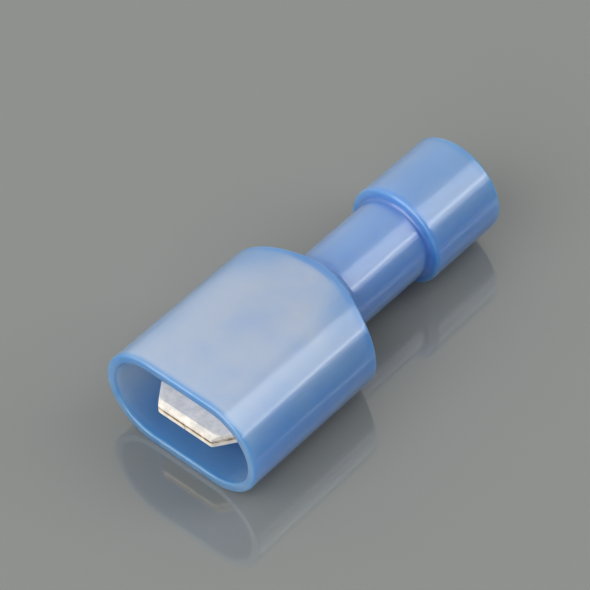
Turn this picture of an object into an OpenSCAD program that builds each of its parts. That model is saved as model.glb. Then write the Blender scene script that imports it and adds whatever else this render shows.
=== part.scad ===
// Fully insulated male spade terminal: a moulded nylon housing with a flat hood, a crimping neck and
// a wire collar, over one stamped sheet-metal terminal with a folded tab and a rolled barrel.
// Millimetres, +X out of the mouth, +Y across the tab, +Z up. The hood's flat underside rests on Z = 0,
// and the origin is under the middle of the length.

/* [Hood] */
// Outside width of the flat hood
hood_w = 10.8; // [9.8:0.1:12.4]
// Outside height of the flat hood, which ends in full half rounds
hood_h = 6.5; // [5.9:0.1:7.4]
// Wall of the hood and of its shoulder
hood_wall = 0.58; // [0.45:0.01:0.75]
// Depth of the straight sides, from the mouth to the shoulder
hood_depth = 10; // [9:0.1:12]
// Lean of the cone-shaped shoulder, in degrees back from square
shoulder_lean = 35; // [25:1:42]
// Edge round of the mouth rim, inside and outside
rim_round = 0.13; // [0.05:0.01:0.2]

/* [Neck and collar] */
// Outside diameter of the crimping neck
neck_d = 5.16; // [4.6:0.02:5.4]
// Length of the neck, from the foot of the shoulder to the collar
neck_len = 6; // [5:0.1:8]
// Outside diameter of the wire collar
collar_d = 6.4; // [6.2:0.1:7.4]
// Length of the wire collar
collar_len = 5.6; // [4:0.1:7]
// Wall of the collar round the wire's insulation
collar_wall = 0.62; // [0.5:0.01:0.8]
// Round of the collar's outside edges
collar_round = 0.2; // [0.1:0.01:0.24]
// Fillet at both ends of the neck
neck_fillet = 0.25; // [0.1:0.01:0.35]
// Depth of the lead-in chamfer at the wire entry
entry_chamfer = 0.2; // [0.1:0.01:0.25]
// Length of the strand guide behind the barrel's seat, which is bored as the barrel is
guide_len = 0.4; // [0.2:0.05:0.7]
// Distance of the barrel's seat in front of the collar
seat_ahead = 0.8; // [0.5:0.05:1.2]
// Slope of the funnel in the wire entry, in degrees from the axis
funnel_angle = 45; // [35:1:55]

/* [Tab] */
// Thickness of the metal sheet
sheet_t = 0.38; // [0.32:0.01:0.42]
// Hairline between the two folded layers
fold_gap = 0.04; // [0.02:0.01:0.06]
// Width of the tab over its folded edges
tab_w = 6.35; // [5.6:0.05:7]
// Length of the folded tab
tab_len = 8; // [7.2:0.1:8.4]
// Distance of the tip behind the mouth
tip_recess = 0.36; // [0.1:0.02:0.8]
// Height of the tab's top face above the axis
tab_top = 0; // [-0.2:0.05:0.3]
// Width of the nose between its corner cuts
nose_w = 3.86; // [3:0.02:4.6]
// Length of the corner cuts
nose_len = 1.74; // [1:0.02:2.4]
// Length of the pressed bevel on the tip
bevel_run = 0.3; // [0.15:0.01:0.45]
// Depth of the pressed bevel on the tip
bevel_drop = 0.2; // [0.1:0.01:0.28]
// Gap where the rolled or folded edges of the sheet meet
seam_gap = 0.06; // [0.03:0.01:0.12]
// Rolled-over corner of the flap edges under the tab
seam_roll = 0.14; // [0.05:0.01:0.2]
// Diameter of the latching hole
hole_d = 1.8; // [1.4:0.05:2.2]
// Distance of the hole's centre behind the tip
hole_back = 4.5; // [3.8:0.1:5]
// Length of the cut at the tab's rear corners
heel_len = 0.8; // [0.5:0.1:1.2]

/* [Barrel] */
// Width of the waist where the tab runs into the barrel
waist_w = 4.4; // [3.6:0.1:5]
// Inside diameter of the crimping barrel
barrel_bore = 2.3; // [2:0.05:2.6]
// Length of the crimping barrel
barrel_len = 6.3; // [5.2:0.1:6.8]
// Play round the barrel in the neck, and at its seat
barrel_play = 0.02; // [0.01:0.01:0.06]

/* [Hidden] */
$fn = 96;
// Facets of the hairline's tiny round ends
fine_fn = 24;
// Reach of a cut past the face that it opens
cut = 1;

// Housing, by depth behind the mouth
axis_z = hood_h / 2;
lean = tan(shoulder_lean);
neck_r = neck_d / 2;
collar_r = collar_d / 2;
shoulder_end = hood_depth + (hood_w / 2 - neck_r) * lean;
collar_start = shoulder_end + neck_len;
total_len = collar_start + collar_len;
inside_depth = hood_depth - hood_wall / cos(shoulder_lean);
entry_r = collar_r - collar_wall;
bore_r = barrel_bore / 2;
seat = collar_start - seat_ahead;
guide_end = seat + guide_len;
funnel_end = guide_end + (entry_r - bore_r) / tan(funnel_angle);

// Terminal, by depth behind the mouth
tab_t = 2 * sheet_t + fold_gap;
tab_end = tip_recess + tab_len;
barrel_r = bore_r + sheet_t;
barrel_start = seat - barrel_play - barrel_len;
neck_bore_r = barrel_r + barrel_play;

// Loft between the flat waist and the rolled barrel, a little thinner than both so that it ends inside them
loft_lap = 0.3;
loft_inset = 0.015;
loft_rings = 16;
loft_sides = 24;
loft_start = tab_end - loft_lap;
loft_len = barrel_start - tab_end + 2 * loft_lap;
loft_t = sheet_t - 2 * loft_inset;
barrel_mid_r = bore_r + sheet_t / 2;
flat_half = 0.5;
rolled_half = 180 - asin((seam_gap / 2 + loft_inset) / bore_r);
rolled_arm = barrel_mid_r * rolled_half * PI / 180;

// Turns depth frame to part frame: Z is depth behind the mouth and X is height above the axis
module from_mouth() {
    translate([total_len / 2, 0, axis_z]) rotate([0, -90, 0]) children();
}

// Carries a half section of radius and depth round a flat section that ends in half rounds
module round_flat(width, height) {
    spread = width - height;
    for (turn = [0, 180]) {
        rotate(turn) translate([0, spread / 2, 0]) rotate_extrude(angle = 180) children();
    }
    rotate([90, 0, 0]) linear_extrude(spread, center = true) {
        children();
        mirror([1, 0]) children();
    }
}

// Half section of a cylinder with rounded outside edges
module rounded_half(r, length, edge) {
    square([r - edge, length]);
    translate([0, edge]) square([r, length - 2 * edge]);
    for (depth = [edge, length - edge]) {
        translate([r - edge, depth]) circle(edge);
    }
}

// Half section of the cone that closes the hood backwards, with its widest rim at the given depth
module cone_half(depth) {
    r = hood_w / 2;
    polygon([[0, -cut], [r + cut, -cut], [r + cut, depth - cut * lean], [0, depth + r * lean]]);
}

// Material left by a fillet in the square corner between the axis direction and the radius
module square_fillet(r) {
    difference() {
        square(r);
        translate([r, r]) circle(r);
    }
}

// Material left by a fillet between the leaning shoulder and the neck, rooted in the wall behind both
module shoulder_fillet(r) {
    root = hood_wall / 2;
    square_to = [sin(shoulder_lean), cos(shoulder_lean)];
    centre = [r, r * (1 - square_to[0]) / square_to[1]];
    difference() {
        polygon([centre, [-root, centre[1]], centre - (r + root) * square_to, centre - r * square_to]);
        translate(centre) circle(r);
    }
}

// Outside of the hood: a flat box with round ends, trimmed at the back by the cone
module hood_outside() {
    intersection() {
        round_flat(hood_w, hood_h) rounded_half(hood_h / 2, total_len, rim_round);
        rotate_extrude() cone_half(hood_depth);
    }
}

// Inside of the hood, one wall in from the outside
module hood_inside() {
    r = hood_h / 2 - hood_wall;
    intersection() {
        round_flat(hood_w - 2 * hood_wall, 2 * r) {
            translate([0, -cut]) square([r, total_len]);
            translate([r, 0]) square_fillet(rim_round);
            translate([r, -cut]) square([rim_round, cut]);
        }
        rotate_extrude() cone_half(inside_depth);
    }
}

// Half section of the neck and the wire collar
module shank_half() {
    translate([0, hood_depth]) square([neck_r, collar_start + collar_len / 2 - hood_depth]);
    translate([neck_r, shoulder_end]) shoulder_fillet(neck_fillet);
    translate([neck_r, collar_start]) mirror([0, 1]) square_fillet(neck_fillet);
    translate([0, collar_start]) rounded_half(collar_r, collar_len, collar_round);
}

// Half section of the stepped hole: barrel seat, strand guide, funnel and wire entry
module shank_hole_half() {
    translate([0, inside_depth]) square([neck_bore_r, seat - inside_depth]);
    translate([0, seat - cut]) square([bore_r, cut + guide_len]);
    polygon([[0, guide_end], [bore_r, guide_end], [entry_r, funnel_end], [0, funnel_end]]);
    translate([0, funnel_end]) square([entry_r, total_len + cut - funnel_end]);
    translate([entry_r, total_len]) {
        polygon([[0, cut], [0, -entry_chamfer], [entry_chamfer, 0], [entry_chamfer, cut]]);
    }
}

// Moulded nylon housing
module housing() {
    color("#7FA9DE") from_mouth() difference() {
        union() {
            hood_outside();
            rotate_extrude() shank_half();
        }
        hood_inside();
        rotate_extrude() shank_hole_half();
    }
}

// Bar of the given thickness and width with half-round sides, as height and width
module round_bar(thick, width, facets) {
    square([thick, width - thick], center = true);
    for (side = [-1, 1]) {
        translate([0, side * (width - thick) / 2]) circle(d = thick, $fn = facets);
    }
}

// Section of the folded tab: one layer above, and two flaps turned under it that meet in the middle
module tab_section() {
    under = -fold_gap / 2;
    half = seam_gap / 2;
    difference() {
        round_bar(tab_t, tab_w, $fn);
        round_bar(fold_gap, tab_w - 2 * sheet_t, fine_fn);
        translate([under - sheet_t - cut, -half]) square([sheet_t + cut - under, seam_gap]);
        polygon([[under, -half - seam_roll], [under, half + seam_roll],
            [under - seam_roll, half], [under - seam_roll, -half]]);
    }
}

// Outline of the tab from above, as width and depth
module tab_outline() {
    heel = tab_end - heel_len;
    nose = tip_recess + nose_len;
    polygon([[-nose_w / 2, tip_recess], [nose_w / 2, tip_recess], [tab_w / 2, nose], [tab_w / 2, heel],
        [waist_w / 2, tab_end], [-waist_w / 2, tab_end], [-tab_w / 2, heel], [-tab_w / 2, nose]]);
}

// Folded tab with cut corners, a pressed bevel on its tip and a latching hole
module tab() {
    difference() {
        intersection() {
            translate([tab_top - tab_t / 2, 0, 0]) linear_extrude(tab_end) tab_section();
            translate([tab_top - tab_t - cut, 0, 0]) rotate([90, 0, 90]) {
                linear_extrude(tab_t + 2 * cut) tab_outline();
            }
        }
        rotate([90, 0, 0]) linear_extrude(tab_w, center = true) {
            polygon([[tab_top - bevel_drop, tip_recess], [tab_top + bevel_drop, tip_recess],
                [tab_top + bevel_drop, tip_recess + 2 * bevel_run]]);
        }
        translate([tab_top - tab_t - cut, 0, tip_recess + hole_back]) rotate([0, 90, 0]) {
            cylinder(h = tab_t + 2 * cut, d = hole_d);
        }
    }
}

// Rolled barrel with a butt seam along its top
module barrel() {
    translate([0, 0, barrel_start]) linear_extrude(barrel_len) difference() {
        circle(barrel_r);
        circle(bore_r);
        translate([0, -seam_gap / 2]) square([barrel_r + cut, seam_gap]);
    }
}

// Share of the way from the waist, 0, to the barrel, 1, at a depth
function share(depth) = max(0, min(1, (depth - tab_end) / (barrel_start - tab_end)));
function eased(q) = q * q * (3 - 2 * q);
function mix(a, b, q) = a + (b - a) * q;

// Angle and length of the sheet on each side of its middle line, and the height of that line
function wrap(q) = mix(flat_half, rolled_half, eased(q));
function arm(q) = mix(waist_w / 2, rolled_arm, eased(q) * q);
function keel(q) = mix(tab_top - sheet_t / 2, -barrel_mid_r, eased(q));
function bend_r(q) = arm(q) / (wrap(q) * PI / 180);

// Point of the bent sheet at an angle from its middle line, offset outwards by half the sheet or inwards
function sheet_point(q, angle, offset, depth) = [
    keel(q) + bend_r(q) - (bend_r(q) + offset) * cos(angle),
    (bend_r(q) + offset) * sin(angle),
    depth
];

// Closed ring of points round the sheet's section at one depth
function sheet_ring(depth) = let (q = share(depth), w = wrap(q)) [
    for (i = [0 : loft_sides]) sheet_point(q, w * (2 * i / loft_sides - 1), loft_t / 2, depth),
    for (i = [0 : loft_sides]) sheet_point(q, w * (1 - 2 * i / loft_sides), -loft_t / 2, depth)
];

// Sheet between tab and barrel, flat at the waist and rolled up into a ring at the barrel
module waist_loft() {
    count = 2 * (loft_sides + 1);
    points = [for (k = [0 : loft_rings]) each sheet_ring(loft_start + loft_len * k / loft_rings)];
    sides = [for (k = [0 : loft_rings - 1], i = [0 : count - 1]) let (
        a = k * count + i,
        b = k * count + (i + 1) % count
    ) each [[a, b, b + count], [a, b + count, a + count]]];
    front = [for (i = [0 : loft_sides - 1]) [i + 1, i, count - 1 - i, count - 2 - i]];
    back = [for (quad = front) [for (i = [3 : -1 : 0]) quad[i] + loft_rings * count]];
    polyhedron(points, [each sides, each front, each back]);
}

// Stamped sheet-metal terminal
module terminal() {
    color("#C9CBCB") from_mouth() {
        tab();
        waist_loft();
        barrel();
    }
}

housing();
terminal();
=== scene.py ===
"""Fully insulated male spade terminal: a moulded nylon housing over one folded sheet-metal terminal."""

from math import asin, cos, pi, radians, sin, tan

import bpy
import numpy as np
from bpy.props import FloatProperty, FloatVectorProperty, PointerProperty
from mathutils import Matrix, Vector


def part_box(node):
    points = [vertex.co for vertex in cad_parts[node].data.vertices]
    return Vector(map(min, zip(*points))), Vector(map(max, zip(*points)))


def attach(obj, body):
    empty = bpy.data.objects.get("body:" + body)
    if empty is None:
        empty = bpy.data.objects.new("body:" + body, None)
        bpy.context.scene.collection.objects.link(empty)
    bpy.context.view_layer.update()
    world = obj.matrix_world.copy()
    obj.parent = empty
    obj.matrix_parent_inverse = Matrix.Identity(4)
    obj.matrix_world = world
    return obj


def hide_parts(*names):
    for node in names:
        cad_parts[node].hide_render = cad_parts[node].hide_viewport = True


bl_info = {
    "name": "Insulated Spade Terminal",
    "version": (1, 0, 0),
    "blender": (4, 5, 0),
    "location": "View3D > Sidebar > Spade Terminal",
    "description": "Builds a nylon insulated male spade terminal and its studio",
    "category": "Object",
}

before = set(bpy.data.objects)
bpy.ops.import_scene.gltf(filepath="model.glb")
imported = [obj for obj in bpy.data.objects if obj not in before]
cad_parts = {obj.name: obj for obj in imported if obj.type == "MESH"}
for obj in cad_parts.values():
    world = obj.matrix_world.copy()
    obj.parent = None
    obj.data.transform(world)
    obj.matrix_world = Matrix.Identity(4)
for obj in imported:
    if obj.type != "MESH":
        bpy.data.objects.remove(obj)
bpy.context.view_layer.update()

# A millimetre in metres, and a number that counts as nothing
MM = 0.001
TINY = 1e-9

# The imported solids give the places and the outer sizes
HOUSING_LOW, HOUSING_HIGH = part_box("housing")
TERMINAL_LOW, TERMINAL_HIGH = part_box("terminal")
MOUTH_X = HOUSING_HIGH.x
AXIS_Z = (HOUSING_LOW.z + HOUSING_HIGH.z) / 2


def linear_colour(hex_code):
    """Turns an sRGB hex value to a linear colour.

    A share up to 0.04045 is divided by 12.92. Above that, the share plus 0.055 is divided by 1.055 and
    raised to the power 2.4.
    """
    shares = np.array([int(hex_code[i:i + 2], 16) for i in (1, 3, 5)]) / 255
    curved = ((shares + 0.055) / 1.055) ** 2.4
    return tuple(float(x) for x in np.where(shares <= 0.04045, shares / 12.92, curved))


def length(name, description, metres):
    """A size property, in metres."""
    return FloatProperty(name=name, description=description, default=metres, unit="LENGTH")


def angle(name, description, degrees):
    """An angle property, given in degrees and kept in radians."""
    return FloatProperty(name=name, description=description, default=radians(degrees), subtype="ANGLE")


def strength(name, description, value):
    """A property for the brightness of a light's face."""
    return FloatProperty(name=name, description=description, default=value)


def colour(name, description, hex_code):
    """A colour property, given as an sRGB hex value and kept linear."""
    return FloatVectorProperty(
        name=name, description=description, default=linear_colour(hex_code), size=3, subtype="COLOR"
    )


class HousingSettings(bpy.types.PropertyGroup):
    """Sizes and colours of the moulded nylon housing"""

    hood_width: length("Hood width", "Outside width of the flat hood", HOUSING_HIGH.y - HOUSING_LOW.y)
    hood_height: length("Hood height", "Outside height of the flat hood", HOUSING_HIGH.z - HOUSING_LOW.z)
    hood_wall: length("Hood wall", "Wall of the hood and its shoulder", 0.58 * MM)
    hood_depth: length("Hood depth", "Depth of the straight sides, from mouth to shoulder", 10 * MM)
    shoulder_lean: angle("Shoulder lean", "Lean of the cone-shaped shoulder back from square", 35)
    rim_round: length("Rim round", "Edge round of the mouth rim", 0.13 * MM)
    shoulder_round: length("Shoulder round", "Edge round where the sides meet the shoulder", 0.2 * MM)
    neck_diameter: length("Neck diameter", "Outside diameter of the crimping neck", 5.16 * MM)
    neck_fillet: length("Neck fillet", "Fillet at both ends of the neck", 0.25 * MM)
    collar_diameter: length("Collar diameter", "Outside diameter of the wire collar", 6.4 * MM)
    collar_length: length("Collar length", "Length of the wire collar", 5.6 * MM)
    collar_wall: length("Collar wall", "Wall of the collar round the wire", 0.62 * MM)
    collar_round: length("Collar round", "Round of the collar's outside edges", 0.2 * MM)
    entry_chamfer: length("Entry chamfer", "Lead-in chamfer at the wire entry", 0.2 * MM)
    seat_ahead: length("Seat ahead", "Distance of the barrel's seat in front of the collar", 0.8 * MM)
    guide_length: length("Guide length", "Length of the strand guide behind the seat", 0.4 * MM)
    funnel_angle: angle("Funnel angle", "Slope of the funnel in the wire entry", 45)
    inside_round: length("Inside round", "Round of the small inside edges", 0.06 * MM)
    thin_colour: colour("Thin nylon", "Colour of the nylon where the wall is thin", "#7EA7E0")
    # Painted light: a paler colour painted where the metal shines through the wall and on the lit end walls
    # inside the hood
    painted_pale_colour: colour("Backed nylon", "Colour of the nylon where the metal shines through it", "#B8C9EA")
    # Painted shade: a deeper blue painted along corners, in the bores and on standing sides, where light has
    # run far in the nylon
    painted_deep_colour: colour("Deep nylon", "Colour of the nylon where light has run far in it", "#4A90E8")


class TerminalSettings(bpy.types.PropertyGroup):
    """Sizes and colours of the folded sheet-metal terminal"""

    sheet: length("Sheet", "Thickness of the metal sheet", 0.38 * MM)
    fold_gap: length("Fold gap", "Hairline between the two folded layers", 0.04 * MM)
    tab_width: length("Tab width", "Width of the tab over its folds", TERMINAL_HIGH.y - TERMINAL_LOW.y)
    tab_length: length("Tab length", "Length of the folded tab", 8 * MM)
    tab_top: length("Tab top", "Height of the tab's top face above the axis", 0)
    nose_width: length("Nose width", "Width of the nose between its corner cuts", 3.86 * MM)
    nose_length: length("Nose length", "Length of the corner cuts", 1.74 * MM)
    bevel_run: length("Bevel run", "Length of the pressed bevel on the tip", 0.3 * MM)
    bevel_drop: length("Bevel drop", "Depth of the pressed bevel on the tip", 0.2 * MM)
    seam_gap: length("Seam gap", "Gap where the sheet's edges meet", 0.06 * MM)
    seam_roll: length("Seam roll", "Rolled-over corner of the flap edges", 0.14 * MM)
    hole_diameter: length("Hole diameter", "Diameter of the latching hole", 1.8 * MM)
    hole_back: length("Hole back", "Distance of the hole behind the tip", 4.5 * MM)
    heel_length: length("Heel length", "Length of the cut at the rear corners", 0.8 * MM)
    waist_width: length("Waist width", "Width where the tab runs into the barrel", 4.4 * MM)
    barrel_bore: length("Barrel bore", "Inside diameter of the crimping barrel", 2.3 * MM)
    barrel_length: length("Barrel length", "Length of the crimping barrel", 6.3 * MM)
    barrel_play: length("Barrel play", "Play round the barrel in the neck", 0.02 * MM)
    edge_round: length("Edge round", "Round of the sheared edges", 0.045 * MM)
    tin_colour: colour("Tin", "Colour of the tin plate", "#FEF7EC")
    dull_colour: colour("Dull tin", "Colour of the tin plate where handling has dulled it", "#EEEAE2")
    brass_colour: colour("Brass", "Colour of the bare brass at sheared edges", "#A98F68")


class StudioSettings(bpy.types.PropertyGroup):
    """The floor, light and camera"""

    floor_colour: colour("Floor", "Colour of the plain floor", "#757875")
    dome_low: strength("Dome low", "Brightness of the dome on its dim side", 0.1)
    dome_high: strength("Dome high", "Brightness of the dome on its lit side", 0.85)
    behind_brightness: strength("Behind", "Brightness of the softbox behind", 3.0)
    edge_brightness: strength("Edge", "Brightness of the strip beside it", 7.0)
    front_brightness: strength("Front", "Brightness of the softbox in front", 2.9)
    camera_azimuth: angle("Camera azimuth", "Turn of the camera round the terminal", 132.56)
    camera_elevation: angle("Camera elevation", "Height of the camera above the horizon", 47.61)
    camera_roll: angle("Camera roll", "Tilt of the camera about its own axis", -2.01)
    camera_distance: length("Camera distance", "Distance of the camera from its aim", 172 * MM)
    camera_aim: FloatVectorProperty(
        name="Camera aim",
        description="Point that the middle of the picture shows",
        default=(2.5 * MM, 0.19 * MM, 5.86 * MM),
        subtype="XYZ",
        unit="LENGTH",
    )
    focal_length: FloatProperty(
        name="Focal length",
        description="Focal length of the lens, in mm",
        default=192.67,
        subtype="DISTANCE_CAMERA",
    )


# Meshes


def add_piece(name, points, faces, attributes, material, sharp_angle):
    """Makes a mesh object at the origin from points, quads and named values of each point."""
    mesh = bpy.data.meshes.new(name)
    mesh.from_pydata(points, [], faces)
    for label, values in attributes.items():
        layer = mesh.attributes.new(label, "FLOAT", "POINT")
        layer.data.foreach_set("value", values.astype(np.float32).ravel())
    mesh.polygons.foreach_set("use_smooth", np.ones(len(mesh.polygons), bool))
    mesh.set_sharp_from_angle(angle=sharp_angle)
    mesh.materials.append(material)
    if mesh.validate():
        raise RuntimeError(f"{name} has faces that can't be used")
    piece = bpy.data.objects.new(name, mesh)
    bpy.context.scene.collection.objects.link(piece)
    return piece


def in_part_frame(depth, across, up):
    """Points of the part from depth behind the mouth, distance across and height above the axis."""
    return np.stack([MOUTH_X - depth, across, AXIS_Z + up], axis=-1)


def polar_reach(turn, spread, radius):
    """Distance from the axis to a flat section with half-round ends, at each angle of turn.

    The end arcs have their centres at plus and minus spread. A ray at an angle meets the flat side at
    radius over sine, as long as that point lies between the centres, and otherwise the end arc, at
    spread times cosine plus the root of radius squared less the square of spread times sine.
    """
    sine = np.maximum(np.abs(np.sin(turn)), TINY)
    cosine = np.abs(np.cos(turn))
    to_flat = radius / sine
    to_arc = spread * cosine + np.sqrt(np.maximum(radius ** 2 - (spread * sine) ** 2, 0))
    return np.where(to_flat * cosine <= spread, to_flat, to_arc)


def rounded_loop(corners, rounds, arc_steps, shares):
    """Closed loop of points through rounded corners, and how far each lies past one and before the next.

    corners is an array of corner, angle of turn and (radius, depth). Each corner becomes an arc that
    touches both sides: a rational quadratic curve whose middle point is the corner, weighted by the
    sine of half the angle between the sides. The straight between two arcs is cut at the given shares.
    """
    before = np.roll(corners, 1, axis=0) - corners
    after = np.roll(corners, -1, axis=0) - corners
    before /= np.linalg.norm(before, axis=-1, keepdims=True)
    after /= np.linalg.norm(after, axis=-1, keepdims=True)
    half_angle = np.arccos(np.clip((before * after).sum(-1, keepdims=True), -1, 1)) / 2
    reach = rounds[:, None, None] / np.tan(half_angle)
    start = corners + before * reach
    end = corners + after * reach
    step = np.linspace(0, 1, arc_steps)[None, :, None, None]
    weights = ((1 - step) ** 2, 2 * step * (1 - step) * np.sin(half_angle)[:, None], step ** 2)
    arcs = weights[0] * start[:, None] + weights[1] * corners[:, None] + weights[2] * end[:, None]
    arcs = arcs / sum(weights)
    cut = shares[None, :, None, None]
    straights = end[:, None] * (1 - cut) + np.roll(start, -1, axis=0)[:, None] * cut
    loop = np.concatenate([arcs, straights], axis=1)
    side = np.linalg.norm(np.roll(start, -1, axis=0) - end, axis=-1)[:, None]
    past = np.concatenate([np.zeros_like(arcs[..., 0]), side * cut[..., 0]], axis=1)
    ahead = np.concatenate([np.full_like(arcs[..., 0], np.inf), side * (1 - cut[..., 0])], axis=1)
    return loop, past, ahead


def closed_grid(rows, columns):
    """Quads of a grid that closes on itself both ways."""
    row, column = np.meshgrid(np.arange(rows), np.arange(columns), indexing="ij")
    next_row = (row + 1) % rows
    next_column = (column + 1) % columns
    quads = [row * columns + column, next_row * columns + column,
             next_row * columns + next_column, row * columns + next_column]
    return np.stack(quads, axis=-1).reshape(-1, 4)


def eased(share):
    """Share that starts and ends gently: share squared times three less twice the share."""
    return share * share * (3 - 2 * share)


def between(start, end, share):
    """Value at a share of the way from start to end."""
    return start + (end - start) * share


class BarrelSpace:
    """Radii of the holes that take the terminal's barrel and its strands."""

    def __init__(self, terminal):
        self.guide = terminal.barrel_bore / 2
        self.seat = self.guide + terminal.sheet + terminal.barrel_play


class TabPlan:
    """The tab seen from above: half width at depths behind the mouth, and the hole's middle and radius."""

    def __init__(self, size):
        tip = MOUTH_X - TERMINAL_HIGH.x
        heel = tip + size.tab_length
        barrel = MOUTH_X - TERMINAL_LOW.x - size.barrel_length
        half_tab, half_waist = size.tab_width / 2, size.waist_width / 2
        self.depths = [tip, heel - size.heel_length, heel, barrel, barrel + size.heel_length]
        self.widths = [half_tab, half_tab, half_waist, size.barrel_bore / 2, -size.tab_width]
        self.hole_at = tip + size.hole_back
        self.hole_r = size.hole_diameter / 2


def housing_surface(size, bore, plan):
    """Points, quads, and the painted shade and painted light values of the moulded housing.

    One half section of radius and depth goes round the axis and closes on itself: outside of the hood,
    shoulder cone, neck, collar, wire entry, funnel, strand guide, seat, neck bore, inside of the cone
    and of the hood, mouth rim. At each angle the hood's radius is the reach of its flat section, and
    the cone trims it at a depth that grows as the radius shrinks.

    The painted shade value is high along corners, in the bores and on standing sides: a deeper blue painted
    where light has run far in the wall.
    The painted light value is high above and below the tab, and on the end walls inside the hood: a paler
    colour painted where the metal and the lamps shine through.
    """
    turn_steps, arc_steps = 240, 6
    turn = np.linspace(0, 2 * pi, turn_steps, endpoint=False)
    same = np.ones_like(turn)
    lean = tan(size.shoulder_lean)
    half_width = size.hood_width / 2
    spread = (size.hood_width - size.hood_height) / 2
    outside = polar_reach(turn, spread, size.hood_height / 2)
    inside = polar_reach(turn, spread, size.hood_height / 2 - size.hood_wall)
    total = HOUSING_HIGH.x - HOUSING_LOW.x
    collar_start = total - size.collar_length
    seat = collar_start - size.seat_ahead
    guide_end = seat + size.guide_length
    neck_r = size.neck_diameter / 2
    collar_r = size.collar_diameter / 2
    entry_r = collar_r - size.collar_wall
    funnel_end = guide_end + (entry_r - bore.guide) / tan(size.funnel_angle)
    inner_cone = size.hood_depth - size.hood_wall / cos(size.shoulder_lean)

    def cone(depth, radius):
        """Depth at the hood's side, plus the way in to the radius times the slope of the lean."""
        return depth + (half_width - radius) * lean

    # Widths of the bands of painted shade, a deeper colour, along the corners
    thin, wide = 0.12 * MM, 0.3 * MM

    # Radius, depth, round, painted-shade blueness at the corner, width of that band, and painted-shade
    # blueness of the side after it
    corners = [
        (outside, 0, size.rim_round, 1.0, thin, 0.0),
        (outside, cone(size.hood_depth, outside), size.shoulder_round, 1.0, wide, 0.6),
        (neck_r, cone(size.hood_depth, neck_r), size.neck_fillet, 0.6, wide, 0.0),
        (neck_r, collar_start, size.neck_fillet, 0.7, wide, 0.8),
        (collar_r, collar_start, size.collar_round, 0.8, thin, 0.0),
        (collar_r, total, size.collar_round, 0.9, wide, 1.0),
        (entry_r + size.entry_chamfer, total, size.inside_round, 1.0, thin, 1.0),
        (entry_r, total - size.entry_chamfer, size.inside_round, 0.9, wide, 0.2),
        (entry_r, funnel_end, size.inside_round, 0.5, thin, 0.5),
        (bore.guide, guide_end, size.inside_round, 0.7, thin, 0.7),
        (bore.guide, seat, size.inside_round, 0.7, thin, 0.7),
        (bore.seat, seat, size.inside_round, 0.5, thin, 0.2),
        (bore.seat, cone(inner_cone, bore.seat), size.shoulder_round, 0.6, thin, 0.5),
        (inside, cone(inner_cone, inside), size.shoulder_round, 0.6, wide, 0.4),
        (inside, 0, size.rim_round, 1.0, thin, 1.0),
    ]
    profile = np.stack([np.stack([radius * same, depth * same], axis=-1) for radius, depth, *_ in corners])
    rounds, at_corner, band, on_side = (np.array([corner[i] for corner in corners]) for i in (2, 3, 4, 5))
    shares = np.array([0.01, 0.025, 0.04, 0.06, 0.1, 0.3, 0.5, 0.7, 0.9, 0.94, 0.96, 0.975, 0.99])
    loop, past, ahead = rounded_loop(profile, rounds, arc_steps, shares)
    steps = loop.shape[1]

    # A band of painted shade, a deeper colour, along each corner: its value, over one plus the fourth power
    # of the distance in band widths
    own = np.where(np.arange(steps) < arc_steps, at_corner[:, None], on_side[:, None])[..., None]
    here = at_corner[:, None, None] / (1 + (past / band[:, None, None]) ** 4)
    there = np.roll(at_corner, -1)[:, None, None] / (1 + (ahead / np.roll(band, -1)[:, None, None]) ** 4)
    painted_deep = np.maximum(np.maximum(own, here), there)

    loop = loop.reshape(-1, turn_steps, 2)
    radius, depth = loop[..., 0], loop[..., 1]
    points = in_part_frame(depth, radius * np.cos(turn), radius * np.sin(turn))

    # Rows where the outside of the hood and shoulder ends, and where their inside and the mouth rim start
    outside_end, inside_start, rim_start = 2 * steps, 12 * steps, 14 * steps

    # Painted shade down the standing sides, as if light ran on down them: one less the square of height over
    # full height, to the fourth power. Inside the hood the end walls get painted light, pale as if lit from
    # behind, and the flat walls painted shade, deeper
    corner_share, end_power, flat_share = 0.8, 0.35, 1.9
    up = np.abs(points[..., 2] - AXIS_Z)
    standing = (1 - (up / up.max(axis=1, keepdims=True)) ** 2) ** 4
    pale_ends = standing[inside_start:] ** end_power
    standing[inside_start:] = 0
    painted_deep = np.maximum(corner_share * painted_deep.reshape(radius.shape), standing)
    painted_deep[inside_start:rim_start] *= flat_share - flat_share * pale_ends[:rim_start - inside_start]

    # Painted light where the metal would shine through, above and below the tab, with a soft edge past its
    # sides and less of it over the
    # hole, a painted dark patch: a bell of the distance over the hole's radius
    soft, spill, hole_share = 3.2 * MM, 2.1 * MM, 0.6
    across = np.abs(points[..., 1])
    painted_pale = eased(np.clip((np.interp(depth, plan.depths, plan.widths) + spill - across) / soft, 0, 1))
    painted_pale *= 1 - hole_share * np.exp(-((depth - plan.hole_at) ** 2 + across ** 2) / plan.hole_r ** 2)
    painted_pale[outside_end:] = 0
    # Inside the hood the paler colour is painted light on the end walls
    painted_pale[inside_start:] = pale_ends
    values = {"light_run": painted_deep, "metal_behind": painted_pale}
    return points.reshape(-1, 3), closed_grid(*radius.shape), values


def sheet_walls(active, open_rows):
    """Edges round the used cells of a half sheet, as pairs of (row, column), with the cells on their left.

    The middle column is a seam to the other half, apart from the rows where the hole opens it.
    """
    padded = np.pad(active, 1)
    along_row = padded[1:, 1:-1].astype(int) - padded[:-1, 1:-1]
    along_column = padded[1:-1, 1:].astype(int) - padded[1:-1, :-1]
    along_column[:, 0] *= open_rows

    # Where the use of cells changes, the sign of the change, the edge's step, and if its ends are swapped
    kinds = (
        (along_row, 1, (0, 1), False),
        (along_row, -1, (0, 1), True),
        (along_column, -1, (1, 0), False),
        (along_column, 1, (1, 0), True),
    )
    edges = []
    for change, sign, step, swapped in kinds:
        first = np.argwhere(change == sign)
        second = first + step
        edges.append(np.stack([second, first] if swapped else [first, second], axis=1))
    return np.concatenate(edges)


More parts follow.
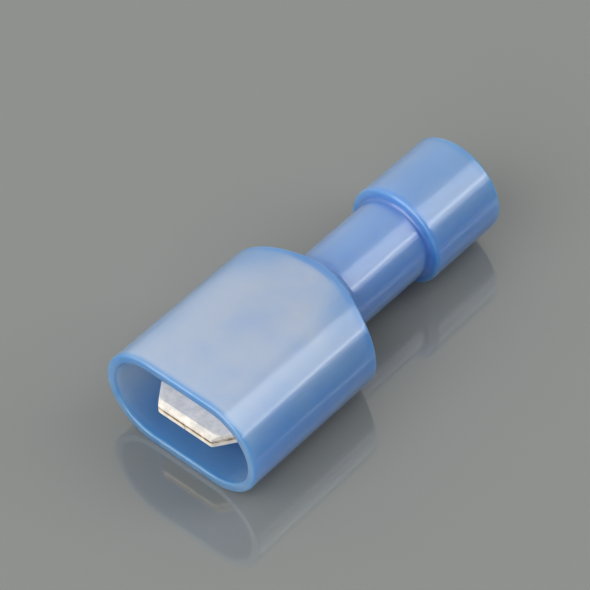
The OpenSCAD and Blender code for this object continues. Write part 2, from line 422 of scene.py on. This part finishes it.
def terminal_surface(size):
    """Points, quads and torn-edge values of the folded terminal.

    Half of the flat blank is a grid of rows along the depth and columns across, and a third index goes
    through the sheet. Across, a column runs from the middle over the upper layer, round the fold as a
    half circle, and back under it as a flap. Along, a row runs from the tip to the heel, and the strip
    inside the waist runs on: it bends to an arc whose angle grows from nearly flat to a full ring.
    The other half is its mirror image.
    """
    sheet = size.sheet
    tip = MOUTH_X - TERMINAL_HIGH.x
    tab_end = tip + size.tab_length
    barrel_end = MOUTH_X - TERMINAL_LOW.x
    barrel_start = barrel_end - size.barrel_length
    hole_r = size.hole_diameter / 2
    hole_at = tip + size.hole_back
    half_tab, half_nose, half_waist = size.tab_width / 2, size.nose_width / 2, size.waist_width / 2
    fold_outer = sheet + size.fold_gap / 2
    fold_at = half_tab - fold_outer
    middle_up = size.tab_top - fold_outer

    # Layers through the sheet, from the upper or outer face, with a quarter round at both faces
    round_steps, inner_steps = 5, 5
    quarter = 1 - np.cos(np.linspace(0, pi / 2, round_steps))
    drawn_back = 1 - np.sin(np.linspace(0, pi / 2, round_steps))
    inner = np.linspace(0.25, 0.75, inner_steps) * sheet
    through = np.concatenate([quarter * size.edge_round, inner, sheet - quarter[::-1] * size.edge_round])
    edge = np.concatenate([drawn_back, 0 * inner, drawn_back[::-1]]) * size.edge_round
    rolled = np.clip(1 - (sheet - through) / size.seam_roll, 0, 1)
    seam_edge = edge + size.seam_roll * (1 - np.sqrt(1 - rolled ** 2))
    layers = len(through)

    # Columns: strip inside the waist, wing to the fold, fold, flap
    nose_steps, wing_steps, bend_steps, flap_steps = 21, 6, 17, 24
    bevel_corner = half_nose + size.bevel_run * (half_tab - half_nose) / size.nose_length
    beside_nose = [(half_nose + bevel_corner) / 2, bevel_corner, half_waist]
    strip = np.concatenate([np.linspace(0, half_nose, nose_steps), beside_nose])
    wing = np.linspace(half_waist, fold_at, wing_steps)[1:]
    bend = np.linspace(pi / 2, -pi / 2, bend_steps)[1:]
    back = np.linspace(0, 1, flap_steps)[1:]
    strip_last = len(strip) - 1
    columns = len(strip) + len(wing) + len(bend) + len(back)

    # Rows: tip, bevel, front of the hole, hole, behind the hole, waist, barrel
    front_steps, hole_steps, behind_steps, waist_steps, barrel_steps = 14, 25, 14, 26, 12
    near_end = 0.97
    bevel_share = size.bevel_run / (size.hole_back - hole_r)
    front = np.concatenate([[0, bevel_share / 2], np.linspace(bevel_share, 1, front_steps)])
    hole_turn = np.linspace(0, pi, hole_steps)
    behind = np.linspace(0, 1, behind_steps)[1:]
    rolling = np.linspace(0, 1, waist_steps)[1:]
    running = np.concatenate([np.linspace(0, near_end, barrel_steps)[1:], [1]])
    hole_first = len(front) - 1
    hole_last = hole_first + len(hole_turn) - 1
    heel = hole_last + len(behind)
    rows = heel + 1 + len(rolling) + len(running)

    shape = (layers, heel + 1, columns)
    half_chord = np.zeros(heel + 1)
    half_chord[hole_first:hole_last + 1] = hole_r * np.sin(hole_turn)
    chord = half_chord[None, :, None]
    face = through[:, None, None]
    cut = edge[:, None, None]

    # Across: columns near the middle make room for the hole
    first_column = np.zeros(len(strip))
    first_column[0] = 1
    near = np.clip(strip / half_nose, 0, 1)
    open_row = chord > TINY
    strip_across = np.where(strip <= half_nose, between(chord, half_nose, near), strip)
    strip_across = strip_across + cut * first_column * open_row
    flap_end = np.maximum(size.seam_gap / 2 + seam_edge[:, None, None], chord + cut)
    parts = [
        np.broadcast_to(strip_across, shape[:2] + (len(strip),)),
        np.broadcast_to(wing, shape[:2] + (len(wing),)),
        np.broadcast_to(fold_at + (fold_outer - face) * np.cos(bend), shape[:2] + (len(bend),)),
        np.broadcast_to(between(fold_at, flap_end, back), shape[:2] + (len(back),)),
    ]
    across = np.concatenate(parts, axis=-1)

    # Along: the tip and the heel follow the outline, and the hole's rows follow its circle
    nose_cut = np.maximum(across - half_nose, 0) * size.nose_length / (half_tab - half_nose)
    heel_cut = np.maximum(across - half_waist, 0) * size.heel_length / (half_tab - half_waist)
    depth = np.empty(shape)
    start = tip + nose_cut[:, :len(front)]
    depth[:, :len(front)] = between(start, hole_at - hole_r, front[None, :, None])
    depth[:, 0] += edge[:, None]
    depth[:, hole_first:hole_last + 1] = hole_at - hole_r * np.cos(hole_turn)[None, :, None]
    depth[:, hole_first:hole_last + 1, 0] -= edge[:, None] * np.cos(hole_turn)
    end = tab_end - heel_cut[:, hole_last + 1:]
    depth[:, hole_last + 1:] = between(hole_at + hole_r, end, behind[None, :, None])
    depth[:, heel, strip_last + 1:] -= edge[:, None]

    # Up: the bevel presses the upper layer's top face down towards the tip
    pressed = size.bevel_drop * np.clip(1 - (depth - tip) / size.bevel_run, 0, 1)
    level = middle_up + fold_outer - face - pressed * (1 - face / sheet)
    around = middle_up + (fold_outer - face) * np.sin(bend)
    under = middle_up - fold_outer + face
    flat_columns = len(strip) + len(wing)
    fold_columns = flat_columns + len(bend)
    up = np.empty(shape)
    up[..., :flat_columns] = level[..., :flat_columns]
    up[..., flat_columns:fold_columns] = around
    up[..., fold_columns:] = under

    # The strip bends to a ring: angle, arm and lowest line change with the eased share of the way
    share = np.concatenate([rolling, np.ones(len(running))])
    middle_r = size.barrel_bore / 2 + sheet / 2
    nearly_flat = radians(0.5)
    full_turn = pi - asin(size.seam_gap / size.barrel_bore)
    half_turn = between(nearly_flat, full_turn, eased(share))
    arm = between(half_waist, middle_r * full_turn, eased(share) * share)
    keel = between(size.tab_top - sheet / 2, -middle_r, eased(share))
    bend_r = (arm / half_turn)[None, :, None]
    last_column = np.zeros(len(strip))
    last_column[-1] = 1
    swing = (arm[None, :, None] * strip / half_waist - cut * last_column) / bend_r
    ring = bend_r + face - sheet / 2
    rolling_depth = between(tab_end, barrel_start, rolling)
    running_depth = between(barrel_start, barrel_end, running)
    tail_depth = np.concatenate([rolling_depth, running_depth])
    tail_depth = np.broadcast_to(tail_depth[None, :, None], swing.shape).copy()
    tail_depth[:, -1] -= edge[:, None]
    tail = np.zeros((layers, rows - heel - 1, columns, 3))
    tail[:, :, :len(strip)] = in_part_frame(
        tail_depth, ring * np.sin(swing), keel[None, :, None] + bend_r - ring * np.cos(swing)
    )
    points = np.concatenate([in_part_frame(depth, across, up), tail], axis=1)

    # Cells in use, their two faces and the walls round them
    active = np.zeros((rows - 1, columns - 1), bool)
    active[:heel] = True
    active[:, :strip_last] = True
    open_rows = np.zeros(rows - 1, int)
    open_rows[hole_first:hole_last] = 1
    index = np.arange(layers * rows * columns).reshape(layers, rows, columns)
    row, column = np.nonzero(active)
    upper = np.stack([index[0, row, column], index[0, row, column + 1],
                      index[0, row + 1, column + 1], index[0, row + 1, column]], axis=-1)
    lower = (upper + index[-1, 0, 0])[:, ::-1]
    walls = sheet_walls(active, open_rows)
    first = index[:, walls[:, 0, 0], walls[:, 0, 1]]
    second = index[:, walls[:, 1, 0], walls[:, 1, 1]]
    sides = np.stack([first[:-1], first[1:], second[1:], second[:-1]], axis=-1).reshape(-1, 4)
    half = np.concatenate([upper, lower, sides])

    # The mirror image shares the points on the middle line
    on_middle = np.zeros((layers, rows, columns), bool)
    on_middle[:, :, 0] = True
    on_middle[:, hole_first + 1:hole_last, 0] = False
    points[on_middle, 1] = 0
    count = index.size
    mirrored = np.where(on_middle.ravel(), np.arange(count), np.arange(count) + count)
    quads = np.concatenate([half, mirrored[half][:, ::-1]])
    flat = points.reshape(-1, 3)
    everything = np.concatenate([flat, flat * [1, -1, 1]])

    # A sheared edge is torn near its lower or inner face, from these shares of the sheet's thickness
    tear_start, tear_run = 0.72, 0.16
    torn = eased(np.clip((through / sheet - tear_start) / tear_run, 0, 1))
    torn[-1] = 0
    in_edge = np.broadcast_to(torn[:, None, None], (layers, rows, columns))
    used, renamed = np.unique(quads, return_inverse=True)
    cut_edge = np.tile(in_edge.ravel(), 2)[used]
    return everything[used], renamed.reshape(-1, 4), {"cut_edge": cut_edge}


# Materials

# Places of the two inputs and the result among a Mix node's sockets, whose names repeat
COLOUR_A, COLOUR_B, COLOUR_MIX = 6, 7, 2
NUMBER_A, NUMBER_B, NUMBER_MIX = 2, 3, 0


def add_node(tree, kind, inputs=None, **settings):
    """Adds a node with its settings, and sets or links its inputs."""
    node = tree.nodes.new(kind)
    for name, value in settings.items():
        setattr(node, name, value)
    for name, value in (inputs or {}).items():
        if isinstance(value, bpy.types.NodeSocket):
            tree.links.new(value, node.inputs[name])
        else:
            node.inputs[name].default_value = value
    return node


def new_material(name):
    """An empty node material and its tree."""
    material = bpy.data.materials.new(name)
    material.use_nodes = True
    material.node_tree.nodes.clear()
    return material, material.node_tree


def opaque(linear):
    """A linear colour with full alpha."""
    return (*linear, 1)


def moulded_nylon(size):
    """Moulded nylon 66, dyed blue: milky and slightly cloudy, and lets soft light through.

    Its base colour carries painted shade, a deeper blue where light would have run far in it, and painted
    light, paler where the metal would shine through from behind.
    Its skin is glossy from the polished mould, with a slight waviness of about a millimetre. The fine grain
    of the skin is drawn coarser than the real one, so that it shows.
    """
    cloud_size, wave_size, grain_size = 2.6 * MM, 1.1 * MM, 0.16 * MM
    material, tree = new_material("moulded_blue_nylon")
    place = add_node(tree, "ShaderNodeTexCoord").outputs["Object"]
    # Shares of painted shade (deeper blue) and painted light (paler), kept on the housing's points
    run = add_node(tree, "ShaderNodeAttribute", attribute_name="light_run").outputs["Fac"]
    metal = add_node(tree, "ShaderNodeAttribute", attribute_name="metal_behind").outputs["Fac"]
    cloud = add_node(tree, "ShaderNodeTexNoise", {"Vector": place, "Scale": 1 / cloud_size, "Detail": 2.0})
    wave = add_node(tree, "ShaderNodeTexNoise", {"Vector": place, "Scale": 1 / wave_size, "Detail": 1.0})
    grain = add_node(tree, "ShaderNodeTexNoise", {"Vector": place, "Scale": 1 / grain_size, "Detail": 2.0})
    cloudy = add_node(
        tree,
        "ShaderNodeMapRange",
        {"Value": cloud.outputs["Fac"], "From Min": 0.3, "From Max": 0.7, "To Min": -0.12, "To Max": 0.18},
    ).outputs["Result"]
    share = add_node(
        tree, "ShaderNodeMath", {0: run, 1: cloudy}, operation="ADD", use_clamp=True
    ).outputs["Value"]
    # Painted light: paler where the metal would shine through the wall
    painted_pale = add_node(
        tree,
        "ShaderNodeMix",
        {"Factor": metal, COLOUR_A: opaque(size.thin_colour), COLOUR_B: opaque(size.painted_pale_colour)},
        data_type="RGBA",
    ).outputs[COLOUR_MIX]
    # Painted shade: the deeper blue is mixed in by the painted shade share
    base = add_node(
        tree,
        "ShaderNodeMix",
        {"Factor": share, COLOUR_A: painted_pale, COLOUR_B: opaque(size.painted_deep_colour)},
        data_type="RGBA",
    ).outputs[COLOUR_MIX]
    waves = add_node(
        tree,
        "ShaderNodeBump",
        {"Height": wave.outputs["Fac"], "Strength": 0.05, "Distance": 0.1 * MM},
    ).outputs["Normal"]
    bumps = add_node(
        tree,
        "ShaderNodeBump",
        {"Height": grain.outputs["Fac"], "Strength": 0.05, "Distance": 0.02 * MM, "Normal": waves},
    ).outputs["Normal"]
    shader = add_node(
        tree,
        "ShaderNodeBsdfPrincipled",
        {
            "Base Color": base,
            "Roughness": 0.4,
            "Normal": bumps,
            "IOR": 1.53,
            "Subsurface Weight": 1.0,
            "Subsurface Radius": (2.2, 2.6, 3.0),
            "Subsurface Scale": 1.0 * MM,
            "Transmission Weight": 0.35,
            "Coat Weight": 1.0,
            "Coat Roughness": 0.15,
            "Coat IOR": 1.5,
        },
    )
    add_node(tree, "ShaderNodeOutputMaterial", {"Surface": shader.outputs["BSDF"]})
    return material


def tin_plated_brass(size):
    """Tin plate on rolled brass strip: satin, dulled in patches, with rolling streaks along the tab.

    A sheared edge is plated where the tool cut it clean, and shows rough bare brass where it tore. The
    streaks are drawn wider than the real ones, so that they show.
    """
    streak_width, streak_length, mottle_size = 0.05 * MM, 1.6 * MM, 0.5 * MM
    material, tree = new_material("tin_plated_brass")
    place = add_node(tree, "ShaderNodeTexCoord").outputs["Object"]
    cut = add_node(tree, "ShaderNodeAttribute", attribute_name="cut_edge").outputs["Fac"]
    along_tab = (1 / streak_length, 1 / streak_width, 1 / streak_width)
    stretched = add_node(tree, "ShaderNodeMapping", {"Vector": place, "Scale": along_tab}).outputs["Vector"]
    streaks = add_node(
        tree, "ShaderNodeTexNoise", {"Vector": stretched, "Scale": 1.0, "Detail": 3.0}
    ).outputs["Fac"]
    mottle = add_node(
        tree, "ShaderNodeTexNoise", {"Vector": place, "Scale": 1 / mottle_size, "Detail": 3.0}
    ).outputs["Fac"]
    bare = add_node(
        tree,
        "ShaderNodeMapRange",
        {"Value": mottle, "From Min": 0.35, "From Max": 0.6, "To Min": 0.3, "To Max": 1.0},
    ).outputs["Result"]
    brassy = add_node(tree, "ShaderNodeMath", {0: cut, 1: bare}, operation="MULTIPLY").outputs["Value"]
    handled = add_node(
        tree, "ShaderNodeMapRange", {"Value": mottle, "From Min": 0.4, "From Max": 0.65}
    ).outputs["Result"]
    plate = add_node(
        tree,
        "ShaderNodeMix",
        {"Factor": handled, COLOUR_A: opaque(size.tin_colour), COLOUR_B: opaque(size.dull_colour)},
        data_type="RGBA",
    ).outputs[COLOUR_MIX]
    base = add_node(
        tree,
        "ShaderNodeMix",
        {"Factor": brassy, COLOUR_A: plate, COLOUR_B: opaque(size.brass_colour)},
        data_type="RGBA",
    ).outputs[COLOUR_MIX]
    satin = add_node(
        tree,
        "ShaderNodeMapRange",
        {"Value": mottle, "From Min": 0.3, "From Max": 0.7, "To Min": 0.82, "To Max": 0.95},
    ).outputs["Result"]
    torn = add_node(
        tree, "ShaderNodeMix", {"Factor": cut, NUMBER_A: satin, NUMBER_B: 1.0}, data_type="FLOAT"
    ).outputs[NUMBER_MIX]
    grainy = add_node(
        tree, "ShaderNodeMapRange", {"Value": cut, "To Min": 0.2, "To Max": 0.7}
    ).outputs["Result"]
    bumps = add_node(
        tree, "ShaderNodeBump", {"Height": streaks, "Strength": grainy, "Distance": 0.02 * MM}
    ).outputs["Normal"]
    shader = add_node(
        tree,
        "ShaderNodeBsdfPrincipled",
        {"Base Color": base, "Roughness": torn, "Normal": bumps, "Metallic": 1.0},
    )
    add_node(tree, "ShaderNodeOutputMaterial", {"Surface": shader.outputs["BSDF"]})
    return material


def studio_floor(linear):
    """Smooth painted board: plain, with a soft sheen that mirrors what stands on it faintly."""
    material, tree = new_material("painted_board")
    shader = add_node(
        tree,
        "ShaderNodeBsdfPrincipled",
        {"Base Color": opaque(linear), "Roughness": 0.07, "Specular IOR Level": 0.9},
    )
    add_node(tree, "ShaderNodeOutputMaterial", {"Surface": shader.outputs["BSDF"]})
    return material


# Operators


class SPADE_OT_housing(bpy.types.Operator):
    """Mould the nylon housing in place of its solid"""

    bl_idname = "spade.housing"
    bl_label = "Nylon housing"

    def execute(self, context):
        size = context.scene.spade_housing
        bore = BarrelSpace(context.scene.spade_terminal)
        plan = TabPlan(context.scene.spade_terminal)
        surface = housing_surface(size, bore, plan)
        piece = add_piece("nylon_housing", *surface, moulded_nylon(size), sharp_angle=radians(40))
        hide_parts("housing")
        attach(piece, "root")
        return {"FINISHED"}


class SPADE_OT_terminal(bpy.types.Operator):
    """Fold and roll the sheet-metal terminal in place of its solid"""

    bl_idname = "spade.terminal"
    bl_label = "Folded terminal"

    def execute(self, context):
        size = context.scene.spade_terminal
        surface = terminal_surface(size)
        piece = add_piece("folded_terminal", *surface, tin_plated_brass(size), sharp_angle=radians(28))
        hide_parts("terminal")
        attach(piece, "root")
        return {"FINISHED"}


def add_softbox(name, direction, distance, size, brightness):
    """A rectangular lamp that faces the origin, with a given brightness of its face.

    A lamp's power is its brightness times pi times its area.
    """
    lamp = bpy.data.lights.new(name, "AREA")
    lamp.shape = "RECTANGLE"
    lamp.size, lamp.size_y = size
    lamp.energy = brightness * pi * size[0] * size[1]
    softbox = bpy.data.objects.new(name, lamp)
    softbox.location = Vector(direction).normalized() * distance
    softbox.rotation_euler = Vector(direction).to_track_quat("Z", "Y").to_euler()
    bpy.context.scene.collection.objects.link(softbox)


class SPADE_OT_studio(bpy.types.Operator):
    """Lay the floor, set the lamps and place the camera"""

    bl_idname = "spade.studio"
    bl_label = "Studio"

    def execute(self, context):
        settings = context.scene.spade_studio
        self.lay_floor(settings)
        self.set_lamps(context.scene, settings)
        self.place_camera(context.scene, settings)
        context.scene.view_settings.view_transform = "Standard"
        return {"FINISHED"}

    def lay_floor(self, settings):
        """A flat square under the terminal, a hair below it."""
        half, under = 1.5, 0.01 * MM
        mesh = bpy.data.meshes.new("floor")
        corners = [(x * half, y * half, -under) for x, y in ((-1, -1), (1, -1), (1, 1), (-1, 1))]
        mesh.from_pydata(corners, [], [(0, 1, 2, 3)])
        mesh.materials.append(studio_floor(settings.floor_colour))
        floor = bpy.data.objects.new("floor", mesh)
        bpy.context.scene.collection.objects.link(floor)

    def set_lamps(self, scene, settings):
        """A dome that grows brighter towards its lit side, two lamps behind and one in front."""
        lit_side = (-0.2, -0.78, 0.6)
        world = bpy.data.worlds.new("studio")
        world.use_nodes = True
        world.node_tree.nodes.clear()
        tree = world.node_tree
        toward = add_node(tree, "ShaderNodeTexCoord").outputs["Generated"]
        lit = add_node(
            tree, "ShaderNodeVectorMath", {0: toward, 1: lit_side}, operation="DOT_PRODUCT"
        ).outputs["Value"]
        graded = add_node(
            tree,
            "ShaderNodeMapRange",
            {"Value": lit, "From Min": -0.3, "To Min": settings.dome_low, "To Max": settings.dome_high},
            interpolation_type="SMOOTHSTEP",
        ).outputs["Result"]
        dome = add_node(tree, "ShaderNodeBackground", {"Color": (1, 1, 1, 1), "Strength": graded})
        add_node(tree, "ShaderNodeOutputWorld", {"Surface": dome.outputs["Background"]})
        scene.world = world

        # Name, direction, distance, width and height in metres, and brightness
        lamps = (
            ("softbox_behind", (-0.497, 0.514, 0.7), 0.35, (0.16, 0.36), settings.behind_brightness),
            ("strip_behind", (-0.497, 0.738, 0.456), 0.345, (0.16, 0.02), settings.edge_brightness),
            ("softbox_front", (0.86, 0.0, 0.5), 0.5, (0.6, 0.6), settings.front_brightness),
        )
        for lamp in lamps:
            add_softbox(*lamp)

    def place_camera(self, scene, settings):
        """The camera looks at its aim from a distance along the direction of its azimuth and elevation.

        Its level right turns by the roll about that direction.
        """
        turn, rise, roll = settings.camera_azimuth, settings.camera_elevation, settings.camera_roll
        back = Vector((sin(turn) * cos(rise), -cos(turn) * cos(rise), sin(rise)))
        level = Vector((cos(turn), sin(turn), 0))
        right = level * cos(roll) + back.cross(level) * sin(roll)
        lens = bpy.data.cameras.new("camera")
        lens.lens = settings.focal_length
        lens.clip_start, lens.clip_end = 0.01, 10
        camera = bpy.data.objects.new("camera", lens)
        turned = Matrix((right, back.cross(right), back)).transposed()
        place = Vector(settings.camera_aim) + back * settings.camera_distance
        camera.matrix_world = Matrix.Translation(place) @ turned.to_4x4()
        scene.collection.objects.link(camera)
        scene.camera = camera


class SPADE_PT_sidebar(bpy.types.Panel):
    """Lists the steps that build the terminal"""

    bl_idname = "SPADE_PT_sidebar"
    bl_label = "Spade Terminal"
    bl_space_type = "VIEW_3D"
    bl_region_type = "UI"
    bl_category = "Spade Terminal"

    def draw(self, context):
        for operator in OPERATORS:
            self.layout.operator(operator.bl_idname)
        for group in GROUPS:
            settings = getattr(context.scene, group)
            box = self.layout.box()
            for name in settings.__annotations__:
                box.prop(settings, name)


GROUPS = {
    "spade_housing": HousingSettings,
    "spade_terminal": TerminalSettings,
    "spade_studio": StudioSettings,
}
OPERATORS = (SPADE_OT_housing, SPADE_OT_terminal, SPADE_OT_studio)


def register():
    """Registers the classes and puts the settings on the scene."""
    for cls in (*GROUPS.values(), *OPERATORS, SPADE_PT_sidebar):
        bpy.utils.register_class(cls)
    for name, cls in GROUPS.items():
        setattr(bpy.types.Scene, name, PointerProperty(type=cls))


def unregister():
    """Takes the settings off the scene and unregisters the classes."""
    for name in GROUPS:
        delattr(bpy.types.Scene, name)
    for cls in reversed((*GROUPS.values(), *OPERATORS, SPADE_PT_sidebar)):
        bpy.utils.unregister_class(cls)


def main():
    """Builds the terminal and its studio."""
    register()
    bpy.ops.spade.housing()
    bpy.ops.spade.terminal()
    bpy.ops.spade.studio()


if __name__ == "__main__":
    main()
